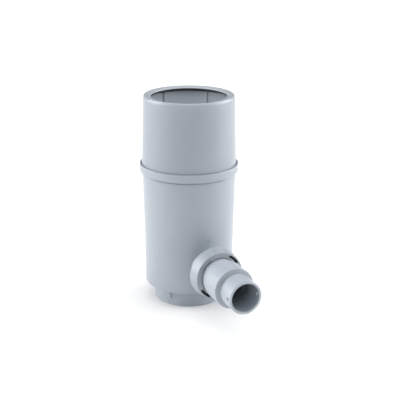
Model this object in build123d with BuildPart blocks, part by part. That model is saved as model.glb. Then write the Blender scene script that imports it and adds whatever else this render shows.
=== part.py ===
# Rainwater downpipe filter with a bottom spigot, a lift-off inlet sleeve, a filter
# basket inside and a stepped side outlet held by a bayonet coupling ring.
# Millimetres, +Z up.  Origin: on the main axis at the spigot's lower end.
# The side outlet points along -Y.
import os
from math import cos, radians, sin

from build123d import *

os.makedirs("parts", exist_ok=True)

# ------------------------------------------------------------------ main body
SPIGOT_R = 55.0          # outside of the bottom spigot, for a 110 mm pipe socket
SPIGOT_ROOT_R = 55.25    # drafted root of the spigot
SPIGOT_CLEAR = 10.0      # straight end of the spigot, below the fins
BORE_R = 51.8            # through bore of spigot and standpipe
SPIGOT_H = 26.6          # height of the body's underside
FLOOR_T = 3.0            # body floor
BODY_R_LOW = 68.9        # body outside, just above the bottom rounding
BODY_R_MID = 69.35       # body outside at BODY_Z_MID
BODY_Z_MID = 100.0
BODY_R_TOP = 71.5        # body outside under the collar
WALL = 2.9
BOTTOM_ROUND = 2.0
STANDPIPE_TOP = 130.0
STANDPIPE_R = 54.2       # outside of the standpipe inside the body

# collar socket that holds the inlet sleeve
COLLAR_R = 75.9
COLLAR_Z0 = 205.6
COLLAR_Z1 = 219.0
COLLAR_WALL = 2.7
COLLAR_UNDER = 3.0       # rounding under the collar
SEAT_Z = 207.6           # floor of the collar socket, the sleeve stands on it
LEDGE_Z = 201.0          # inner ledge under the basket's flange
LEDGE_R = 65.2

# inlet sleeve
SLEEVE_R_BOTTOM = 72.9
SLEEVE_R_MID = 71.0
SLEEVE_Z_MID = 262.0
SLEEVE_R_TOP = 69.5
SLEEVE_WALL = 2.5
RIM_Z = 324.2            # highest line of the rim
RIM_CROWN_R = 67.0
RIM_EDGE_H = 6.0         # height of the rim's outer rounding
OPENING_R = 57.4
OPENING_Z = 322.1
LIP_UNDER_Z = 321.4
SEAL_T = 2.6
RIB_COUNT = 6
RIB_W = 2.0
RIB_D = 3.0
RIB_ANGLE = 41.7         # first rib, degrees from +X

# locating fins on the spigot
FIN_W = 1.9
FIN_D = 1.7
FIN_Z0 = 10.5
FIN_ANGLE = -144.7       # first fin, degrees from +X

# ------------------------------------------------------------------ side outlet
OUT_Z = 71.7             # height of the outlet axis
NECK_BORE_R = 21.5
NECK_ROOT_R = 24.4
NECK_FLARE_R = 36.4      # neck flange behind the coupling ring
NECK_END_R = 31.6
NECK_END_BORE_R = 26.6
NECK_CONE_S = 92.4       # end of the conical part, distance from the main axis
NECK_END_S = 103.0
LUG_R = 34.4             # bayonet lugs on the neck
LUG_S0 = 99.0
RING_R_BACK = 39.9       # coupling ring
RING_R_FRONT = 37.3
RING_EDGE = 0.8
RING_S0 = 94.3
RING_S1 = 113.7
RING_BORE_R = 35.4
PLATE_T = 3.2
PLATE_BORE_R = 28.9
SLOT_R0 = 31.4
SLOT_R1 = 35.2
SLOT_A0, SLOT_A1 = -60.0, -27.0      # through slots in the ring's face
WINDOW_R1 = 35.0
WINDOW_DEPTH = 1.2
WINDOW_A0, WINDOW_A1 = 29.0, 62.0    # spanner windows in the ring's face
RIB_TURN = 5.5           # index rib, degrees from straight up
RING_RIB_W = 2.6

GASKET_R = 34.8          # outlet gasket, it shows black behind the slots
NIPPLE_S0 = 105.6        # flanged nipple, held by the coupling ring
NIPPLE_FLANGE_R = 31.2
NIPPLE_R = 27.6
NIPPLE_BORE_R = 24.6
NIPPLE_END_S = 148.0
TUBE_S0 = 114.3          # stepped hose adaptor, pushed over the nipple
TUBE_START_R = 28.6      # slim start of the adaptor in front of the ring
TUBE_FLARE_S0 = 118.4
TUBE_FLARE_S1 = 126.0
TUBE_R0 = 30.7
TUBE_R1 = 30.9
SHOULDER_S = 162.4
SHOULDER_EDGE = 1.1
WAIST_R = 23.0           # neck of the hose tail, right at the shoulder
WAIST_S = 164.2
TAIL_S0 = 171.0          # start of the tail's full diameter
TAIL_R = 24.8            # outside of the 50 mm hose tail
TAIL_BORE_R = 21.5
MOUTH_S = 197.8
HOLE_R = 2.4
HOLE_S = 190.2

# ------------------------------------------------------------------ filter basket
FLANGE_SEAL_T = 2.0
CAGE_R = 56.0            # outside of the cage bars
CAGE_IN_R = 52.4
CAGE_BOTTOM = 137.0
CAGE_TOP = 192.0
SCREEN_R = 52.1
SCREEN_T = 0.8

OUT_AXIS = Axis((0, 0, OUT_Z), (0, -1, 0))
# local x is the distance from the main axis along the outlet, local y is up
OUT_PLANE = Plane(origin=(0, 0, OUT_Z), x_dir=(0, -1, 0), z_dir=(-1, 0, 0))


def face_plane(s):
    """Plane across the outlet axis at distance s, local x up, normal outwards."""
    return Plane(origin=(0, -s, OUT_Z), x_dir=(0, 0, 1), z_dir=(0, -1, 0))


def sector(r0, r1, a0, a1):
    """Flat ring sector between two radii and two angles, around the origin."""
    am = (a0 + a1) / 2

    def at(r, a):
        return (r * cos(radians(a)), r * sin(radians(a)))

    with BuildSketch() as sector_sketch:
        with BuildLine():
            ThreePointArc(at(r1, a0), at(r1, am), at(r1, a1))
            Line(at(r1, a1), at(r0, a1))
            ThreePointArc(at(r0, a1), at(r0, am), at(r0, a0))
            Line(at(r0, a0), at(r1, a0))
        make_face()
    return sector_sketch.sketch


neck_lug_a = sector(NECK_END_R - 1.0, LUG_R, SLOT_A0 + 2, SLOT_A1 - 2)
neck_lug_b = sector(NECK_END_R - 1.0, LUG_R, SLOT_A0 + 182, SLOT_A1 + 178)
ring_lug_a = sector(32.3, RING_BORE_R + 0.6, SLOT_A0 + 1, SLOT_A1 - 1)
ring_lug_b = sector(32.3, RING_BORE_R + 0.6, SLOT_A0 + 181, SLOT_A1 + 179)
slot_a = sector(SLOT_R0, SLOT_R1, SLOT_A0, SLOT_A1)
slot_b = sector(SLOT_R0, SLOT_R1, SLOT_A0 + 180, SLOT_A1 + 180)
window_a = sector(PLATE_BORE_R - 1.0, WINDOW_R1, WINDOW_A0, WINDOW_A1)
window_b = sector(PLATE_BORE_R - 1.0, WINDOW_R1, WINDOW_A0 + 180, WINDOW_A1 + 180)

# ================================================================== lower housing
with BuildPart() as lower_housing:
    with BuildSketch(Plane.XZ):
        with BuildLine():
            Polyline(
                (BORE_R, 0),
                (SPIGOT_R - 0.8, 0),
                (SPIGOT_R, 0.8),
                (SPIGOT_R, SPIGOT_CLEAR),
                (SPIGOT_ROOT_R, SPIGOT_H),
                (BODY_R_LOW - BOTTOM_ROUND, SPIGOT_H),
            )
            RadiusArc(
                (BODY_R_LOW - BOTTOM_ROUND, SPIGOT_H),
                (BODY_R_LOW, SPIGOT_H + BOTTOM_ROUND),
                -BOTTOM_ROUND,
            )
            Polyline(
                (BODY_R_LOW, SPIGOT_H + BOTTOM_ROUND),
                (BODY_R_MID, BODY_Z_MID),
                (BODY_R_TOP, COLLAR_Z0 - 1.6),
                (BODY_R_TOP - 1.0, COLLAR_Z0 - 1.5),
                (BODY_R_TOP - 1.0, COLLAR_Z0),
                (COLLAR_R - COLLAR_UNDER, COLLAR_Z0),
            )
            RadiusArc(
                (COLLAR_R - COLLAR_UNDER, COLLAR_Z0),
                (COLLAR_R, COLLAR_Z0 + COLLAR_UNDER),
                -COLLAR_UNDER,
            )
            Polyline(
                (COLLAR_R, COLLAR_Z0 + COLLAR_UNDER),
                (COLLAR_R, COLLAR_Z1 - 0.7),
                (COLLAR_R - 0.7, COLLAR_Z1),
                (COLLAR_R - COLLAR_WALL + 0.4, COLLAR_Z1),
                (COLLAR_R - COLLAR_WALL, COLLAR_Z1 - 0.4),
                (COLLAR_R - COLLAR_WALL, SEAT_Z),
                (BODY_R_TOP - WALL + 0.2, SEAT_Z),
                (BODY_R_TOP - WALL + 0.1, LEDGE_Z),
                (LEDGE_R, LEDGE_Z),
                (LEDGE_R, LEDGE_Z - 2.0),
                (BODY_R_TOP - WALL, LEDGE_Z - 5.6),
                (BODY_R_MID - WALL, BODY_Z_MID),
                (BODY_R_LOW - WALL, SPIGOT_H + FLOOR_T + 2.0),
                (BODY_R_LOW - WALL - 2.0, SPIGOT_H + FLOOR_T),
                (STANDPIPE_R, SPIGOT_H + FLOOR_T),
                (STANDPIPE_R, STANDPIPE_TOP - 0.6),
                (STANDPIPE_R - 0.6, STANDPIPE_TOP),
                (BORE_R, STANDPIPE_TOP),
                (BORE_R, 0),
            )
        make_face()
    revolve(axis=Axis.Z)
    # conical outlet neck, solid first, opened by the bore below
    with BuildSketch(OUT_PLANE):
        with BuildLine():
            Polyline(
                (66.2, 0),
                (66.2, NECK_ROOT_R),
                (72.0, NECK_ROOT_R + 0.4),
                (NECK_CONE_S - 1.6, NECK_FLARE_R),
                (NECK_CONE_S, NECK_FLARE_R),
                (NECK_CONE_S + 0.6, NECK_END_R),
                (NECK_END_S - 0.4, NECK_END_R),
                (NECK_END_S, NECK_END_R - 0.4),
                (NECK_END_S, 0),
                (66.2, 0),
            )
        make_face()
    revolve(axis=OUT_AXIS)
    # part of the neck that reaches the curved wall at its sides
    with BuildSketch(face_plane(59.0)):
        Circle(NECK_ROOT_R)
    extrude(amount=8.0, mode=Mode.ADD)
    # bayonet lugs at the neck's end
    with BuildSketch(face_plane(LUG_S0)):
        add(neck_lug_a)
        add(neck_lug_b)
    extrude(amount=NECK_END_S - LUG_S0 - 0.4)
    # bore: straight through the wall, widening to the neck's end
    with BuildSketch(OUT_PLANE):
        with BuildLine():
            Polyline(
                (57.6, 0),
                (57.6, NECK_BORE_R),
                (70.5, NECK_BORE_R + 0.2),
                (NECK_CONE_S + 2.0, NECK_END_BORE_R),
                (NECK_END_S + 1.0, NECK_END_BORE_R),
                (NECK_END_S + 1.0, 0),
                (57.6, 0),
            )
        make_face()
    revolve(axis=OUT_AXIS, mode=Mode.SUBTRACT)
    # locating fins on the spigot, under the body
    for k in range(4):
        a = FIN_ANGLE + 90 * k
        with BuildSketch(
            Plane(
                origin=((SPIGOT_R - 1.0) * cos(radians(a)), (SPIGOT_R - 1.0) * sin(radians(a)), FIN_Z0),
                x_dir=(cos(radians(a)), sin(radians(a)), 0),
                z_dir=(0, 0, 1),
            )
        ):
            Rectangle(FIN_D + 1.0, FIN_W, align=(Align.MIN, Align.CENTER))
        extrude(amount=SPIGOT_H - FIN_Z0 + 0.5)
    # small oval index pip on the body above the outlet
    with BuildSketch(
        Plane(
            origin=(68.5 * sin(radians(2.4)), -68.5 * cos(radians(2.4)), 112.3),
            x_dir=(cos(radians(2.4)), sin(radians(2.4)), 0),
            z_dir=(sin(radians(2.4)), -cos(radians(2.4)), 0),
        )
    ):
        Ellipse(1.7, 1.1)
    extrude(amount=3.0)
lower_housing.part.label = "lower_housing"

# ================================================================== inlet sleeve
with BuildPart() as upper_housing:
    with BuildSketch(Plane.XZ):
        with BuildLine():
            Polyline(
                (SLEEVE_R_BOTTOM - SLEEVE_WALL + 0.3, SEAT_Z),
                (SLEEVE_R_BOTTOM - 0.5, SEAT_Z),
                (SLEEVE_R_BOTTOM, SEAT_Z + 0.5),
            )
            ThreePointArc(
                (SLEEVE_R_BOTTOM, SEAT_Z + 0.5),
                (SLEEVE_R_MID, SLEEVE_Z_MID),
                (SLEEVE_R_TOP, RIM_Z - RIM_EDGE_H),
            )
            EllipticalCenterArc(
                (RIM_CROWN_R, RIM_Z - RIM_EDGE_H),
                SLEEVE_R_TOP - RIM_CROWN_R,
                RIM_EDGE_H,
                start_angle=0,
                arc_size=90,
            )
            Polyline(
                (RIM_CROWN_R, RIM_Z),
                (OPENING_R + 0.5, OPENING_Z + 0.1),
                (OPENING_R, OPENING_Z - 0.3),
                (OPENING_R, LIP_UNDER_Z),
                (SLEEVE_R_TOP - SLEEVE_WALL, LIP_UNDER_Z),
                (SLEEVE_R_MID - SLEEVE_WALL, SLEEVE_Z_MID),
                (SLEEVE_R_BOTTOM - SLEEVE_WALL, SEAT_Z + 0.3),
                (SLEEVE_R_BOTTOM - SLEEVE_WALL + 0.3, SEAT_Z),
            )
        make_face()
    revolve(axis=Axis.Z)
    # six ribs down the inside wall; their tops hold the seal up against the lip
    for k in range(RIB_COUNT):
        a = RIB_ANGLE + 360 / RIB_COUNT * k
        with BuildSketch(
            Plane(
                origin=(0, 0, 0),
                x_dir=(cos(radians(a)), sin(radians(a)), 0),
                z_dir=(sin(radians(a)), -cos(radians(a)), 0),
            )
        ):
            Polygon(
                (SLEEVE_R_TOP - SLEEVE_WALL - RIB_D, LIP_UNDER_Z - SEAL_T),
                (SLEEVE_R_TOP - SLEEVE_WALL + 0.8, LIP_UNDER_Z - SEAL_T),
                (SLEEVE_R_MID - SLEEVE_WALL + 0.8, SLEEVE_Z_MID),
                (71.2, 218.0),
                (70.3, 218.0),
                (67.2, 226.0),
                (SLEEVE_R_MID - SLEEVE_WALL - RIB_D + 0.5, SLEEVE_Z_MID),
                align=None,
            )
        extrude(amount=RIB_W / 2, both=True)
upper_housing.part.label = "upper_housing"

# ================================================================== inlet seal
with BuildPart() as inlet_seal:
    with BuildSketch(Plane.XY.offset(LIP_UNDER_Z - SEAL_T)):
        Circle(66.7)
        Circle(OPENING_R, mode=Mode.SUBTRACT)
    extrude(amount=SEAL_T)
inlet_seal.part.label = "inlet_seal"

# ================================================================== filter cage
with BuildPart() as filter_cage:
    # flange, funnel and barrel in one section
    with BuildSketch(Plane.XZ):
        with BuildLine():
            Polyline(
                (CAGE_IN_R, CAGE_BOTTOM),
                (CAGE_R, CAGE_BOTTOM),
                (CAGE_R, CAGE_TOP - 2.0),
                (64.4, LEDGE_Z + FLANGE_SEAL_T - 1.0),
                (64.4, LEDGE_Z + FLANGE_SEAL_T),
                (68.2, LEDGE_Z + FLANGE_SEAL_T),
                (68.2, LEDGE_Z + FLANGE_SEAL_T + 2.6),
                (66.2, LEDGE_Z + FLANGE_SEAL_T + 3.2),
                (64.6, LEDGE_Z + FLANGE_SEAL_T + 2.6),
                (CAGE_IN_R - 1.0, CAGE_TOP),
                (CAGE_IN_R - 1.0, CAGE_TOP - 1.6),
                (CAGE_IN_R, CAGE_TOP - 1.6),
                (CAGE_IN_R, CAGE_BOTTOM),
            )
        make_face()
    revolve(axis=Axis.Z)
    # two rows of eight windows
    for z0, z1 in ((CAGE_BOTTOM + 6.0, 161.0), (165.0, CAGE_TOP - 5.0)):
        for k in range(8):
            a = 22.5 + 45 * k
            with BuildSketch(
                Plane(
                    origin=(48.0 * cos(radians(a)), 48.0 * sin(radians(a)), (z0 + z1) / 2),
                    x_dir=(-sin(radians(a)), cos(radians(a)), 0),
                    z_dir=(cos(radians(a)), sin(radians(a)), 0),
                )
            ):
                RectangleRounded(34.0, z1 - z0, 3.0)
            extrude(amount=12.0, mode=Mode.SUBTRACT)
filter_cage.part.label = "filter_cage"

# ================================================================== filter screen
with BuildPart() as filter_screen:
    with BuildSketch(Plane.XY.offset(CAGE_BOTTOM + 0.2)):
        Circle(SCREEN_R)
        Circle(SCREEN_R - SCREEN_T, mode=Mode.SUBTRACT)
    extrude(amount=CAGE_TOP - 1.8 - CAGE_BOTTOM - 0.2)
    # slotted field, four rows of slots round the sheet
    for row in range(4):
        for k in range(18):
            a = 5.0 + 10 * k + 5 * (row % 2)
            with BuildSketch(
                Plane(
                    origin=(-60 * cos(radians(a)), -60 * sin(radians(a)), CAGE_BOTTOM + 11.5 + 12.0 * row),
                    x_dir=(-sin(radians(a)), cos(radians(a)), 0),
                    z_dir=(cos(radians(a)), sin(radians(a)), 0),
                )
            ):
                Rectangle(4.0, 9.0)
            extrude(amount=120.0, mode=Mode.SUBTRACT)
filter_screen.part.label = "filter_screen"

# ================================================================== screen retainer
with BuildPart() as screen_retainer:
    with BuildSketch(Plane.XZ):
        with BuildLine():
            Polyline(
                (49.6, 133.6),
                (CAGE_R, 133.6),
                (CAGE_R, CAGE_BOTTOM),
                (51.1, CAGE_BOTTOM),
                (51.1, CAGE_BOTTOM + 4.4),
                (50.5, CAGE_BOTTOM + 5.0),
                (49.6, CAGE_BOTTOM + 5.0),
                (49.6, 133.6),
            )
        make_face()
    revolve(axis=Axis.Z)
screen_retainer.part.label = "screen_retainer"

# ================================================================== rubber seals
with BuildPart() as flange_seal:
    with BuildSketch(Plane.XY.offset(LEDGE_Z)):
        Circle(68.2)
        Circle(65.4, mode=Mode.SUBTRACT)
    extrude(amount=FLANGE_SEAL_T)
flange_seal.part.label = "flange_seal"

with BuildPart() as standpipe_seal:
    with BuildSketch(Plane.XZ):
        with BuildLine():
            Polyline(
                (51.8, STANDPIPE_TOP),
                (54.35, STANDPIPE_TOP),
                (54.35, STANDPIPE_TOP - 4.5),
                (56.4, STANDPIPE_TOP - 4.5),
                (56.8, STANDPIPE_TOP - 4.0),
                (56.8, 133.6),
                (51.8, 133.6),
                (51.8, STANDPIPE_TOP),
            )
        make_face()
    revolve(axis=Axis.Z)
standpipe_seal.part.label = "standpipe_seal"

with BuildPart() as outlet_gasket:
    with BuildSketch(face_plane(NECK_END_S)):
        Circle(GASKET_R)
        Circle(26.8, mode=Mode.SUBTRACT)
    extrude(amount=NIPPLE_S0 - NECK_END_S)
outlet_gasket.part.label = "outlet_gasket"

# ================================================================== coupling ring
PLATE_S0 = RING_S1 - PLATE_T
with BuildPart() as coupling_ring:
    with BuildSketch(OUT_PLANE):
        with BuildLine():
            Polyline(
                (RING_S0, RING_BORE_R),
                (RING_S0, RING_R_BACK - 0.5),
                (RING_S0 + 0.5, RING_R_BACK),
                (RING_S1 - RING_EDGE, RING_R_FRONT),
            )
            RadiusArc((RING_S1 - RING_EDGE, RING_R_FRONT), (RING_S1, RING_R_FRONT - RING_EDGE), RING_EDGE)
            Polyline(
                (RING_S1, RING_R_FRONT - RING_EDGE),
                (RING_S1, PLATE_BORE_R + 0.3),
                (RING_S1 - 0.3, PLATE_BORE_R),
                (PLATE_S0, PLATE_BORE_R),
                (PLATE_S0, RING_BORE_R),
                (RING_S0, RING_BORE_R),
            )
        make_face()
    revolve(axis=OUT_AXIS)
    # inner lugs at the back, they grip behind the neck's lugs
    with BuildSketch(face_plane(RING_S0)):
        add(ring_lug_a)
        add(ring_lug_b)
    extrude(amount=LUG_S0 - RING_S0 - 0.3)
    # slots through the face in front of the lugs
    with BuildSketch(face_plane(PLATE_S0 - 0.5)):
        add(slot_a)
        add(slot_b)
    extrude(amount=PLATE_T + 1.0, mode=Mode.SUBTRACT)
    # two shallow spanner windows, open towards the tube
    with BuildSketch(face_plane(RING_S1 - WINDOW_DEPTH)):
        add(window_a)
        add(window_b)
    extrude(amount=WINDOW_DEPTH + 1.0, mode=Mode.SUBTRACT)
    # index rib along the top of the ring, following its cone
    with BuildSketch(
        Plane(
            origin=(0, 0, OUT_Z),
            x_dir=(0, -1, 0),
            z_dir=(-cos(radians(RIB_TURN)), 0, -sin(radians(RIB_TURN))),
        )
    ):
        Polygon(
            (RING_S0 + 3.0, 37.0),
            (RING_S0 + 3.0, 39.7),
            (RING_S0 + 3.6, 40.2),
            (RING_S1 - 4.4, 38.9),
            (RING_S1 - 3.2, 37.6),
            (RING_S1 - 3.2, 36.4),
            align=None,
        )
    extrude(amount=RING_RIB_W / 2, both=True)
coupling_ring.part.label = "coupling_ring"

# ================================================================== outlet nipple
with BuildPart() as outlet_nipple:
    with BuildSketch(OUT_PLANE):
        with BuildLine():
            Polyline(
                (NIPPLE_S0, NIPPLE_BORE_R),
                (NIPPLE_S0, NIPPLE_FLANGE_R - 0.4),
                (NIPPLE_S0 + 0.4, NIPPLE_FLANGE_R),
                (PLATE_S0, NIPPLE_FLANGE_R),
                (PLATE_S0, NIPPLE_R),
                (NIPPLE_END_S - 1.0, NIPPLE_R),
                (NIPPLE_END_S, NIPPLE_R - 1.0),
                (NIPPLE_END_S, NIPPLE_BORE_R),
                (NIPPLE_S0, NIPPLE_BORE_R),
            )
        make_face()
    revolve(axis=OUT_AXIS)
outlet_nipple.part.label = "outlet_nipple"

# ================================================================== outlet adaptor
with BuildPart() as outlet_adaptor:
    with BuildSketch(OUT_PLANE):
        with BuildLine():
            Polyline(
                (TUBE_S0, NIPPLE_R + 0.05),
                (TUBE_S0, TUBE_START_R),
                (TUBE_FLARE_S0, TUBE_START_R + 0.2),
                (TUBE_FLARE_S1, TUBE_R0),
                (SHOULDER_S - SHOULDER_EDGE, TUBE_R1),
            )
            RadiusArc((SHOULDER_S - SHOULDER_EDGE, TUBE_R1), (SHOULDER_S, TUBE_R1 - SHOULDER_EDGE), SHOULDER_EDGE)
            Polyline(
                (SHOULDER_S, TUBE_R1 - SHOULDER_EDGE),
                (SHOULDER_S + 0.5, WAIST_R + 0.6),
                (WAIST_S, WAIST_R),
                (TAIL_S0, TAIL_R),
                (MOUTH_S - 0.9, TAIL_R),
                (MOUTH_S - 0.25, TAIL_R - 0.3),
                (MOUTH_S, TAIL_R - 0.9),
                (MOUTH_S, TAIL_BORE_R + 0.5),
                (MOUTH_S - 0.5, TAIL_BORE_R),
                (SHOULDER_S - 2.0, TAIL_BORE_R),
                (NIPPLE_END_S + 4.0, NIPPLE_BORE_R + 0.6),
                (NIPPLE_END_S, NIPPLE_BORE_R + 0.6),
                (NIPPLE_END_S, NIPPLE_R + 0.05),
                (TUBE_S0, NIPPLE_R + 0.05),
            )
        make_face()
    revolve(axis=OUT_AXIS)
    # cross hole for a pin, straight through both walls near the mouth
    with BuildSketch(Plane.YZ.offset(-40)):
        with Locations((-HOLE_S, OUT_Z)):
            Circle(HOLE_R)
    extrude(amount=80, mode=Mode.SUBTRACT)
outlet_adaptor.part.label = "outlet_adaptor"

# ------------------------------------------------------------------ STEP files
export_step(lower_housing.part, "parts/lower_housing.step")
export_step(upper_housing.part, "parts/upper_housing.step")
export_step(inlet_seal.part, "parts/inlet_seal.step")
export_step(filter_cage.part, "parts/filter_cage.step")
export_step(filter_screen.part, "parts/filter_screen.step")
export_step(screen_retainer.part, "parts/screen_retainer.step")
export_step(flange_seal.part, "parts/flange_seal.step")
export_step(standpipe_seal.part, "parts/standpipe_seal.step")
export_step(outlet_gasket.part, "parts/outlet_gasket.step")
export_step(coupling_ring.part, "parts/coupling_ring.step")
export_step(outlet_nipple.part, "parts/outlet_nipple.step")
export_step(outlet_adaptor.part, "parts/outlet_adaptor.step")
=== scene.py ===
# Downpipe filter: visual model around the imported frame.  Metres, +Z up,
# the side outlet points along -Y.  Sizes below are in millimetres.
from math import acos, cos, pi, radians, sin, tan

import bmesh
import bpy
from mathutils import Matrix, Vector


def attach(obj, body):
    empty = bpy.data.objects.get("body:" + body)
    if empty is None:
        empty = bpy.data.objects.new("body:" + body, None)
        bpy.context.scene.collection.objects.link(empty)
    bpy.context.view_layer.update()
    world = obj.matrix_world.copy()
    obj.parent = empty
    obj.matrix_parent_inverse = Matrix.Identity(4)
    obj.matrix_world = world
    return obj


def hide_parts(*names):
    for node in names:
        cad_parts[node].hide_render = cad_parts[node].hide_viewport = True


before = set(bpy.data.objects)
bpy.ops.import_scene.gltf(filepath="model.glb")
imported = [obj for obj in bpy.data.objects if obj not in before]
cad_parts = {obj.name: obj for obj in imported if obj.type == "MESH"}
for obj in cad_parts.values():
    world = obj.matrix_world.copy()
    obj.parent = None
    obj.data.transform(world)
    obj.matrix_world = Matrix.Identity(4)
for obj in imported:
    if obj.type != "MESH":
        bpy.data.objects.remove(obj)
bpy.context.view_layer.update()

MM = 0.001
OUT_Z = 71.7


# ------------------------------------------------------------------ mesh helpers
def rounded(points, step=9.0):
    """Closed outline from (u, r, fillet) corners, with arcs at the fillets."""
    out = []
    n = len(points)
    for i, (u, r, f) in enumerate(points):
        p = Vector((u, r))
        a = Vector(points[i - 1][:2]) - p
        b = Vector(points[(i + 1) % n][:2]) - p
        ang = a.angle(b)
        if f <= 0 or ang > radians(177):
            out.append(p)
            continue
        t = min(f / tan(ang / 2), 0.48 * a.length, 0.48 * b.length)
        f = t * tan(ang / 2)
        d1, d2 = a.normalized(), b.normalized()
        c = p + (d1 + d2).normalized() * (f / sin(ang / 2))
        v0, v1 = p + d1 * t - c, p + d2 * t - c
        sweep = v0.angle(v1)
        k = max(2, int(sweep / radians(step)) + 1)
        for j in range(k + 1):
            q = j / k
            w = (v0 * sin((1 - q) * sweep) + v1 * sin(q * sweep)) / sin(sweep)
            out.append(c + w)
    return out


def main_point(u, r, a):
    """Height u, radius r, angle a from +X, on the main axis."""
    return Vector((r * cos(a), r * sin(a), u)) * MM


def out_point(u, r, a):
    """Distance u along the outlet, radius r, angle a from straight up, towards -X."""
    return Vector((-r * sin(a), -u, OUT_Z + r * cos(a))) * MM


def link(name, mesh):
    o = bpy.data.objects.new(name, mesh)
    bpy.context.scene.collection.objects.link(o)
    return o


def lathe(name, corners, place, segs=256, step=9.0):
    prof = rounded(corners, step)
    bm = bmesh.new()
    rows = []
    for i in range(segs):
        a = 2 * pi * i / segs
        rows.append([bm.verts.new(place(p.x, p.y, a)) for p in prof])
    m = len(prof)
    for i in range(segs):
        p, q = rows[i], rows[(i + 1) % segs]
        for j in range(m):
            k = (j + 1) % m
            bm.faces.new((p[j], q[j], q[k], p[k]))
    bmesh.ops.recalc_face_normals(bm, faces=bm.faces)
    mesh = bpy.data.meshes.new(name)
    bm.to_mesh(mesh)
    bm.free()
    return link(name, mesh)


def prism(name, low, high):
    """Solid between two outlines with the same number of points."""
    bm = bmesh.new()
    a = [bm.verts.new(p) for p in low]
    b = [bm.verts.new(p) for p in high]
    n = len(a)
    bm.faces.new(a)
    bm.faces.new(list(reversed(b)))
    for i in range(n):
        j = (i + 1) % n
        bm.faces.new((a[i], a[j], b[j], b[i]))
    bmesh.ops.recalc_face_normals(bm, faces=bm.faces)
    mesh = bpy.data.meshes.new(name)
    bm.to_mesh(mesh)
    bm.free()
    return link(name, mesh)


def sector(name, r0, r1, a0, a1, s0, s1, corner=0.0):
    """Ring sector on the outlet axis between two radii, angles and distances."""
    outline = []
    n = 18
    for k in range(n + 1):
        outline.append((r1, a0 + (a1 - a0) * k / n))
    for k in range(n + 1):
        outline.append((r0, a1 - (a1 - a0) * k / n))
    if corner:
        d = corner
        trimmed = []
        for r, a in outline:
            end = min(a - a0, a1 - a) * pi / 180 * r
            pull = d - end if end < d else 0.0
            shift = d - (max(0.0, d * d - pull * pull)) ** 0.5 if pull else 0.0
            trimmed.append((r - shift if r == r1 else r + shift, a))
        outline = trimmed
    low = [out_point(s0, r, radians(a)) for r, a in outline]
    high = [out_point(s1, r, radians(a)) for r, a in outline]
    return prism(name, low, high)


def combine(target, tool, how):
    mod = target.modifiers.new("cut", "BOOLEAN")
    mod.operation = how
    mod.solver = "EXACT"
    mod.object = tool
    deps = bpy.context.evaluated_depsgraph_get()
    mesh = bpy.data.meshes.new_from_object(target.evaluated_get(deps))
    target.modifiers.clear()
    old = target.data
    target.data = mesh
    bpy.data.meshes.remove(old)
    junk = tool.data
    bpy.data.objects.remove(tool)
    bpy.data.meshes.remove(junk)


def finish_piece(o, material, slot, *nodes, angle=32.0):
    bm = bmesh.new()
    bm.from_mesh(o.data)
    bmesh.ops.remove_doubles(bm, verts=bm.verts, dist=2e-6)
    bmesh.ops.dissolve_degenerate(bm, edges=bm.edges, dist=2e-6)
    bm.to_mesh(o.data)
    bm.free()
    o.data.shade_smooth()
    o.data.set_sharp_from_angle(angle=radians(angle))
    o.data.materials.clear()
    o.data.materials.append(material)
    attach(o, "root")
    if nodes:
        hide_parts(*nodes)


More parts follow.
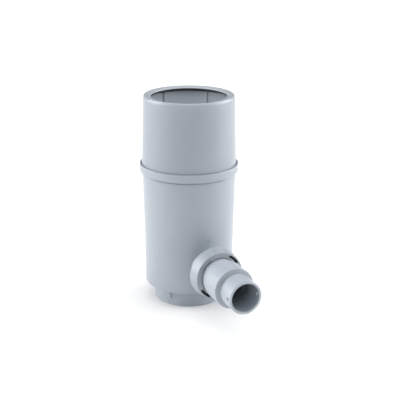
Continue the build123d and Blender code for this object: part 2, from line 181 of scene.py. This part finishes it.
# ------------------------------------------------------------------ materials
def plastic(name, color, rough=0.34, grain=0.05, seed=0.0):
    m = bpy.data.materials.new(name)
    m.use_nodes = True
    nt = m.node_tree
    nodes, links = nt.nodes, nt.links
    bsdf = nodes["Principled BSDF"]
    tex = nodes.new("ShaderNodeTexCoord")
    place = nodes.new("ShaderNodeMapping")
    place.inputs["Location"].default_value = (seed, seed * 0.37, -seed * 0.61)
    links.new(tex.outputs["Object"], place.inputs["Vector"])

    def noise(scale, detail, roughness, vector=None, distort=0.0):
        t = nodes.new("ShaderNodeTexNoise")
        t.inputs["Scale"].default_value = scale
        t.inputs["Detail"].default_value = detail
        t.inputs["Roughness"].default_value = roughness
        t.inputs["Distortion"].default_value = distort
        links.new(vector or place.outputs["Vector"], t.inputs["Vector"])
        return t.outputs["Fac"]

    def ramp(value, lo, hi, a, b):
        t = nodes.new("ShaderNodeMapRange")
        t.inputs["From Min"].default_value = lo
        t.inputs["From Max"].default_value = hi
        t.inputs["To Min"].default_value = a
        t.inputs["To Max"].default_value = b
        links.new(value, t.inputs["Value"])
        return t.outputs["Result"]

    def mix(fac, a, b, kind="MIX"):
        t = nodes.new("ShaderNodeMix")
        t.data_type = "RGBA"
        t.blend_type = kind
        if isinstance(fac, float):
            t.inputs["Factor"].default_value = fac
        else:
            links.new(fac, t.inputs["Factor"])
        for v, s in ((a, t.inputs[6]), (b, t.inputs[7])):
            if isinstance(v, tuple):
                s.default_value = (*v, 1.0)
            else:
                links.new(v, s)
        return t.outputs[2]

    # slow colour drift of the moulding, faint flow streaks, fine speckle
    cloud = noise(14.0, 3.0, 0.5, distort=0.6)
    light = tuple(min(1.0, c * 1.02) for c in color)
    dark = tuple(c * 0.98 for c in color)
    base = mix(ramp(cloud, 0.3, 0.7, 0.0, 1.0), dark, light)
    stretch = nodes.new("ShaderNodeMapping")
    stretch.inputs["Scale"].default_value = (90.0, 90.0, 7.0)
    links.new(place.outputs["Vector"], stretch.inputs["Vector"])
    streak = noise(1.0, 4.0, 0.6, stretch.outputs["Vector"])
    base = mix(ramp(streak, 0.45, 0.8, 0.0, 0.22), base, tuple(c * 0.9 for c in color))
    speck = noise(900.0, 2.0, 0.7)
    base = mix(ramp(speck, 0.62, 0.8, 0.0, 0.16), base, tuple(c * 1.18 for c in color))
    links.new(base, bsdf.inputs["Base Color"])

    # roughness: polished patches, hairline scuffs
    scuff_map = nodes.new("ShaderNodeMapping")
    scuff_map.inputs["Rotation"].default_value = (0.5, 0.3, 0.9)
    scuff_map.inputs["Scale"].default_value = (420.0, 420.0, 18.0)
    links.new(place.outputs["Vector"], scuff_map.inputs["Vector"])
    scuff = ramp(noise(1.0, 2.0, 0.5, scuff_map.outputs["Vector"]), 0.66, 0.74, 0.0, 1.0)
    patch = ramp(noise(30.0, 4.0, 0.55), 0.3, 0.7, rough - 0.015, rough + 0.02)
    add = nodes.new("ShaderNodeMath")
    add.operation = "MULTIPLY_ADD"
    links.new(scuff, add.inputs[0])
    add.inputs[1].default_value = 0.09
    links.new(patch, add.inputs[2])
    links.new(add.outputs[0], bsdf.inputs["Roughness"])

    # bump: fine spark-eroded grain over a very shallow sink and wave
    grain_n = noise(1500.0, 3.0, 0.6)
    wave = noise(45.0, 2.0, 0.5)
    b1 = nodes.new("ShaderNodeBump")
    b1.inputs["Strength"].default_value = 0.35
    b1.inputs["Distance"].default_value = 0.0006
    links.new(wave, b1.inputs["Height"])
    b2 = nodes.new("ShaderNodeBump")
    b2.inputs["Strength"].default_value = grain
    b2.inputs["Distance"].default_value = 0.0002
    links.new(grain_n, b2.inputs["Height"])
    links.new(b1.outputs["Normal"], b2.inputs["Normal"])
    links.new(b2.outputs["Normal"], bsdf.inputs["Normal"])
    bsdf.inputs["IOR"].default_value = 1.49
    bsdf.inputs["Coat Weight"].default_value = 0.22
    bsdf.inputs["Coat Roughness"].default_value = 0.16
    return m


def rubber(name):
    m = plastic(name, (0.018, 0.018, 0.019), rough=0.6, grain=0.25, seed=4.0)
    m.node_tree.nodes["Principled BSDF"].inputs["Specular IOR Level"].default_value = 0.35
    return m


def steel(name):
    m = plastic(name, (0.56, 0.56, 0.55), rough=0.32, grain=0.12, seed=9.0)
    m.node_tree.nodes["Principled BSDF"].inputs["Metallic"].default_value = 1.0
    return m


GREY = (0.318, 0.352, 0.395)
# painted shade: one grey plastic, with the housing's colour made lighter (x1.03) and the sleeve's darker (x0.92),
# standing in for the upper body taking less light than the lower
housing_mat = plastic("housing_grey", tuple(c * 1.03 for c in GREY), seed=0.0)
sleeve_mat = plastic("sleeve_grey", tuple(c * 0.92 for c in GREY), rough=0.35, seed=0.6)
ring_mat = plastic("ring_grey", tuple(c * 0.95 for c in GREY), rough=0.38, seed=2.9)
adaptor_mat = plastic("adaptor_grey", tuple(c * 1.08 for c in GREY), rough=0.38, seed=3.3)
sleeve_mat.node_tree.nodes["Principled BSDF"].inputs["Coat Weight"].default_value = 0.30
sleeve_mat.node_tree.nodes["Principled BSDF"].inputs["Coat Roughness"].default_value = 0.20
cage_mat = plastic("cage_grey", tuple(c * 0.96 for c in GREY), seed=5.1)
rubber_mat = rubber("seal_black")
steel_mat = steel("screen_steel")

# ------------------------------------------------------------------ lower housing
lower = lathe("body_moulding", [
    (0, 51.8, 0), (0, 55.0, 0.7), (10.0, 55.0, 0), (26.6, 55.25, 0.6), (26.6, 68.9, 2.1),
    (60, 69.12, 0), (100, 69.35, 0), (140, 70.2, 0), (170, 70.95, 0), (190, 71.35, 0),
    (204.0, 71.5, 0.1), (204.1, 70.5, 0.1), (205.6, 70.5, 0.1), (205.6, 75.9, 3.05), (219.0, 75.9, 0.9), (219.0, 73.2, 0.3),
    (207.6, 73.2, 0), (207.6, 68.8, 0), (201, 68.7, 0), (201, 65.2, 0.2),
    (199, 65.2, 0.2), (195.4, 68.6, 0.8), (100, 66.45, 0), (29.6, 66.0, 2.5),
    (29.6, 54.2, 0.8), (130, 54.2, 0.7), (130, 51.8, 0),
], main_point, segs=288)
neck = lathe("neck", [
    (57.0, 0.001, 0), (57.0, 24.4, 0), (72.0, 24.8, 1.0), (90.8, 36.4, 1.2), (92.4, 36.4, 0.3),
    (93.0, 31.6, 0.2), (103.0, 31.6, 0.4), (103.0, 0.001, 0),
], out_point, segs=144)
combine(lower, neck, "UNION")
for a in (-60.0, 120.0):
    combine(lower, sector("lug", 30.0, 34.4, a + 2, a + 31, 99.0, 102.6, 0.8), "UNION")
bore = lathe("bore", [
    (56.4, 0.001, 0), (56.4, 21.5, 0), (70.5, 21.7, 0), (94.4, 26.6, 0), (104.0, 26.6, 0), (104.0, 0.001, 0),
], out_point, segs=144)
combine(lower, bore, "DIFFERENCE")
for k in range(4):
    a = radians(-144.7 + 90 * k)
    out = Vector((cos(a), sin(a), 0))
    side = Vector((-sin(a), cos(a), 0))
    shape = [(54.2, -1.1), (56.2, -0.95), (56.7, -0.5), (56.7, 0.5), (56.2, 0.95), (54.2, 1.1)]
    low = [(out * r + side * t + Vector((0, 0, 10.5 + max(0.0, r - 56.0) * 0.9))) * MM for r, t in shape]
    high = [(out * r + side * t + Vector((0, 0, 27.2))) * MM for r, t in shape]
    combine(lower, prism("fin", low, high), "UNION")


def pip():
    """Small oval index mark on the body's skin above the outlet."""
    a = radians(2.4)
    out = Vector((sin(a), -cos(a), 0))
    side = Vector((cos(a), sin(a), 0))
    up = Vector((0, 0, 1))
    bm = bmesh.new()
    rings = []
    for q, depth in ((1.0, 68.9), (1.0, 69.7), (0.85, 70.2), (0.62, 70.7), (0.38, 71.1), (0.2, 71.3)):
        rings.append([bm.verts.new((out * depth + side * (1.75 * q * cos(t)) + up * (111.65 + 0.65 * q + 1.1 * q * sin(t))) * MM)
                      for t in [2 * pi * j / 28 for j in range(28)]])
    bm.faces.new(rings[0])
    bm.faces.new(list(reversed(rings[-1])))
    for p, q in zip(rings, rings[1:]):
        for j in range(28):
            k = (j + 1) % 28
            bm.faces.new((p[j], p[k], q[k], q[j]))
    bmesh.ops.recalc_face_normals(bm, faces=bm.faces)
    mesh = bpy.data.meshes.new("pip")
    bm.to_mesh(mesh)
    bm.free()
    return link("pip", mesh)


combine(lower, pip(), "UNION")
finish_piece(lower, housing_mat, "housing_plastic", "lower_housing")


# ------------------------------------------------------------------ inlet sleeve
def arc3(p0, p1, p2, count):
    """Points on the circle through three (u, r) points."""
    (ax, ay), (bx, by), (cx, cy) = p0, p1, p2
    d = 2 * (ax * (by - cy) + bx * (cy - ay) + cx * (ay - by))
    ux = ((ax * ax + ay * ay) * (by - cy) + (bx * bx + by * by) * (cy - ay) + (cx * cx + cy * cy) * (ay - by)) / d
    uy = ((ax * ax + ay * ay) * (cx - bx) + (bx * bx + by * by) * (ax - cx) + (cx * cx + cy * cy) * (bx - ax)) / d
    c = Vector((ux, uy))
    v0, v1 = Vector(p0) - c, Vector(p2) - c
    sweep = v0.angle(v1)
    return [c + (v0 * sin((1 - q) * sweep) + v1 * sin(q * sweep)) / sin(sweep)
            for q in [j / count for j in range(count + 1)]]


outer = arc3((208.1, 72.9), (262.0, 71.0), (318.2, 69.5), 18)
inner = arc3((321.4, 67.0), (262.0, 68.5), (207.9, 70.4), 12)
rim = [(318.2 + 6.0 * sin(t), 67.0 + 2.5 * cos(t)) for t in [radians(7.5 * j) for j in range(1, 13)]]
sleeve = lathe("sleeve_moulding",
    [(207.6, 70.7, 0), (207.6, 72.4, 0.3)] + [(p.x, p.y, 0) for p in outer]
    + [(u, r, 0) for u, r in rim]
    + [(322.15, 57.7, 0.35), (321.4, 57.4, 0.1)]
    + [(p.x, p.y, 0) for p in inner],
    main_point, segs=288)
for k in range(6):
    a = radians(41.7 + 60 * k)
    out = Vector((cos(a), sin(a), 0))
    side = Vector((-sin(a), cos(a), 0))
    shape = [(318.8, 64.0), (318.8, 67.8), (262.0, 69.3), (218.0, 71.2), (218.0, 70.3), (226.0, 67.2), (262.0, 66.0)]
    low = [(out * r - side * 1.0 + Vector((0, 0, u))) * MM for u, r in shape]
    high = [(out * r + side * 1.0 + Vector((0, 0, u))) * MM for u, r in shape]
    combine(sleeve, prism("rib", low, high), "UNION")
finish_piece(sleeve, sleeve_mat, "sleeve_plastic", "upper_housing")

seal = lathe("inlet_seal_ring", [
    (318.8, 57.4, 0.6), (318.8, 66.7, 0.3), (321.4, 66.7, 0.2), (321.4, 57.4, 0.0),
], main_point, segs=224)
finish_piece(seal, rubber_mat, "seal_rubber", "inlet_seal")

# ------------------------------------------------------------------ coupling ring
ring = lathe("bayonet_ring", [
    (94.3, 35.4, 0.2), (94.3, 39.9, 0.4), (113.7, 37.3, 0.7), (113.7, 28.9, 0.35),
    (110.5, 28.9, 0.1), (110.5, 35.4, 0),
], out_point, segs=256)
for a in (-60.0, 120.0):
    combine(ring, sector("ring_lug", 32.3, 36.0, a + 1, a + 32, 94.3, 98.8, 0.6), "UNION")
    combine(ring, sector("slot", 31.4, 35.2, a, a + 33, 110.0, 115.0, 0.5), "DIFFERENCE")
for a in (29.0, -151.0):
    combine(ring, sector("window", 27.5, 35.0, a, a + 33, 112.5, 115.0, 0.0), "DIFFERENCE")
rib_a = radians(5.5)
rib_out = Vector((-sin(rib_a), 0, cos(rib_a)))
rib_side = Vector((cos(rib_a), 0, sin(rib_a)))
rib_shape = [(97.3, 37.0), (97.3, 39.7), (97.9, 40.2), (109.3, 38.9), (110.5, 37.6), (110.5, 36.4)]
combine(ring, prism("ring_rib",
    [(rib_out * r - rib_side * 1.3 + Vector((0, -s, OUT_Z))) * MM for s, r in rib_shape],
    [(rib_out * r + rib_side * 1.3 + Vector((0, -s, OUT_Z))) * MM for s, r in rib_shape]), "UNION")
finish_piece(ring, ring_mat, "ring_plastic", "coupling_ring")

# ------------------------------------------------------------------ outlet
nipple = lathe("flanged_nipple", [
    (105.6, 24.6, 0.3), (105.6, 31.2, 0.4), (110.5, 31.2, 0.1), (110.5, 27.6, 0.3),
    (148.0, 27.6, 1.0), (148.0, 24.6, 0.3),
], out_point, segs=192)
finish_piece(nipple, adaptor_mat, "adaptor_plastic", "outlet_nipple")
adaptor = lathe("stepped_tail", [
    (114.3, 27.65, 0.1), (114.3, 28.6, 0.4), (118.4, 28.8, 1.5), (126.0, 30.7, 3.0), (162.4, 30.9, 1.1), (162.9, 23.0, 0.7), (164.2, 23.0, 0.3), (171.0, 24.8, 1.5), (197.8, 24.8, 0.6),
    (197.8, 21.5, 0.35), (160.4, 21.5, 1.0), (152.0, 25.2, 0.5), (148.0, 25.2, 0), (148.0, 27.65, 0),
], out_point, segs=224)
pin = []
for k in range(40):
    t = 2 * pi * k / 40
    pin.append((190.2 + 2.4 * cos(t), OUT_Z + 2.4 * sin(t)))
combine(adaptor, prism("pin", [Vector((-40, -s, z)) * MM for s, z in pin],
                       [Vector((40, -s, z)) * MM for s, z in pin]), "DIFFERENCE")
finish_piece(adaptor, adaptor_mat, "adaptor_plastic", "outlet_adaptor")

gasket = lathe("outlet_gasket_ring", [
    (103.0, 26.8, 0.3), (103.0, 34.8, 0.3), (105.6, 34.8, 0.3), (105.6, 26.8, 0.3),
], out_point, segs=96)
finish_piece(gasket, rubber_mat, "seal_rubber", "outlet_gasket")


# ------------------------------------------------------------------ strainer sheet
def strainer():
    """Perforated sheet rolled to a cylinder: one octagonal hole in each cell."""
    around, rows = 84, 13
    z0, z1, r_out, r_in = 137.3, 190.1, 52.1, 51.3
    dz = (z1 - z0) / rows
    bm = bmesh.new()
    cache = {}

    def vert(i, z, r, key):
        k = (round(i, 4) % around, round(z, 4), r)
        if k not in cache:
            cache[k] = bm.verts.new(main_point(z, r, 2 * pi * i / around))
        return cache[k]

    for row in range(rows):
        solid = row in (0, rows - 1)
        for i in range(around):
            zc = z0 + (row + 0.5) * dz
            edge = [(1, 0), (1, 1), (0, 1), (-1, 1), (-1, 0), (-1, -1), (0, -1), (1, -1)]
            for r, flip in ((r_out, False), (r_in, True)):
                rim_pts = [vert(i + 0.5 + 0.5 * x, zc + 0.5 * dz * y, r, 0) for x, y in edge]
                if solid:
                    bm.faces.new(rim_pts if not flip else list(reversed(rim_pts)))
                    continue
                hole = [bm.verts.new(main_point(zc + 0.36 * dz * sin(k * pi / 4), r,
                        2 * pi * (i + 0.5 + 0.36 * cos(k * pi / 4)) / around)) for k in range(8)]
                for k in range(8):
                    j = (k + 1) % 8
                    f = (rim_pts[k], rim_pts[j], hole[j], hole[k])
                    bm.faces.new(f if not flip else tuple(reversed(f)))
                if not flip:
                    keep = hole
                else:
                    for k in range(8):
                        j = (k + 1) % 8
                        bm.faces.new((keep[k], keep[j], hole[j], hole[k]))
    for z in (z0, z1):
        for i in range(around * 2):
            a, b = i / 2, (i + 1) / 2
            bm.faces.new((vert(a, z, r_out, 0), vert(b, z, r_out, 0), vert(b, z, r_in, 0), vert(a, z, r_in, 0)))
    bmesh.ops.recalc_face_normals(bm, faces=bm.faces)
    mesh = bpy.data.meshes.new("strainer_sheet")
    bm.to_mesh(mesh)
    bm.free()
    return link("strainer_sheet", mesh)


screen = strainer()
finish_piece(screen, steel_mat, "screen_steel", "filter_screen")

for node, mat in (("filter_cage", cage_mat), ("screen_retainer", cage_mat),
                  ("flange_seal", rubber_mat), ("standpipe_seal", rubber_mat)):
    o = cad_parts[node]
    for s in o.material_slots:
        s.material = mat

# ------------------------------------------------------------------ floor, light, camera
bm = bmesh.new()
bmesh.ops.create_grid(bm, x_segments=4, y_segments=4, size=6.0)
floor_mesh = bpy.data.meshes.new("floor")
bm.to_mesh(floor_mesh)
bm.free()
floor = link("floor", floor_mesh)
floor_mat = bpy.data.materials.new("floor_white")
floor_mat.use_nodes = True
fb = floor_mat.node_tree.nodes["Principled BSDF"]
fb.inputs["Base Color"].default_value = (0.86, 0.86, 0.86, 1)
fb.inputs["Roughness"].default_value = 0.75
floor_mesh.materials.append(floor_mat)

AZ, EL = radians(-23.73), radians(18.51)
BACK = Vector((sin(AZ) * cos(EL), -cos(AZ) * cos(EL), sin(EL)))
RIGHT = Vector((cos(AZ), sin(AZ), 0))
AWAY = Vector((-sin(AZ), cos(AZ), 0))

# soft white tent: strong from above and half way up, bright at the sides, weak low in front
world = bpy.data.worlds.new("studio")
bpy.context.scene.world = world
world.use_nodes = True
wn, wl = world.node_tree.nodes, world.node_tree.links
bg = wn["Background"]
bg.inputs["Color"].default_value = (1, 1, 1, 1)
sky = wn.new("ShaderNodeTexCoord").outputs["Generated"]


def facing(direction):
    t = wn.new("ShaderNodeVectorMath")
    t.operation = "DOT_PRODUCT"
    wl.new(sky, t.inputs[0])
    t.inputs[1].default_value = direction
    return t.outputs["Value"]


def shaped(value, lo, hi, a, b):
    t = wn.new("ShaderNodeMapRange")
    t.interpolation_type = "SMOOTHSTEP"
    for k, v in zip(("From Min", "From Max", "To Min", "To Max"), (lo, hi, a, b)):
        t.inputs[k].default_value = v
    wl.new(value, t.inputs["Value"])
    return t.outputs["Result"]


def total(*values):
    acc = values[0]
    for v in values[1:]:
        t = wn.new("ShaderNodeMath")
        t.operation = "ADD"
        wl.new(acc, t.inputs[0])
        wl.new(v, t.inputs[1])
        acc = t.outputs[0]
    return acc


def around(azimuth, elevation):
    """Direction at an azimuth from the camera's side, towards the right."""
    a, e = radians(azimuth), radians(elevation)
    return (RIGHT * sin(a) - AWAY * cos(a)) * cos(e) + Vector((0, 0, sin(e)))


strength = total(
    shaped(facing((0, 0, 1)), 0.90, 0.99, 0.22, 3.00),
    shaped(facing((0, 0, 1)), 0.42, 0.60, 0.0, 1.20),
    shaped(facing((0, 0, 1)), 0.72, 0.88, 0.0, -0.90),
    shaped(facing(around(101, 12)), 0.82, 0.985, 0.0, 5.5),
    shaped(facing(around(-95, 12)), 0.82, 0.985, 0.0, 5.2),
)
wl.new(strength, bg.inputs["Strength"])


def softbox(name, where, at, width, height, power):
    d = bpy.data.lights.new(name, "AREA")
    d.shape = "RECTANGLE"
    d.size, d.size_y = width, height
    d.energy = power
    o = link(name, d)
    o.location = where
    o.rotation_euler = (Vector(at) - where).to_track_quat("-Z", "Y").to_euler()
    return o


def snoot(name, where, at, power, cone, wide=1.0):
    d = bpy.data.lights.new(name, "SPOT")
    d.energy = power
    d.spot_size = cone
    d.spot_blend = 0.7
    d.shadow_soft_size = 0.02
    o = link(name, d)
    o.location = where
    o.rotation_euler = (Vector(at) - where).to_track_quat("-Z", "Y").to_euler()
    o.scale = (wide, 1.0, 1.0)
    o.visible_glossy = False
    return o


# three narrow lights through the opening, with no glint of their own on the rim
for turn, power in ((0, 62.0), (-52, 54.0), (52, 54.0)):
    way = AWAY * cos(radians(turn)) + RIGHT * sin(radians(turn))
    aim = Vector((0, 0, 0.322))
    snoot("inlet_light", aim - way * 1.3 + Vector((0, 0, 0.473)), aim, power, 2 * 0.0195 / 1.383, 2.4)

cam_data = bpy.data.cameras.new("camera")
cam_data.sensor_width = 36.0
cam_data.lens = 82.06
cam_data.shift_x = 0.0276
cam_data.shift_y = 0.00125
cam = link("camera", cam_data)
target = Vector((0, 0, 0.1557))
cam.location = target + BACK * 1.4235
cam.rotation_euler = (target - cam.location).to_track_quat("-Z", "Y").to_euler()
bpy.context.scene.camera = cam
bpy.context.scene.view_settings.view_transform = "Standard"
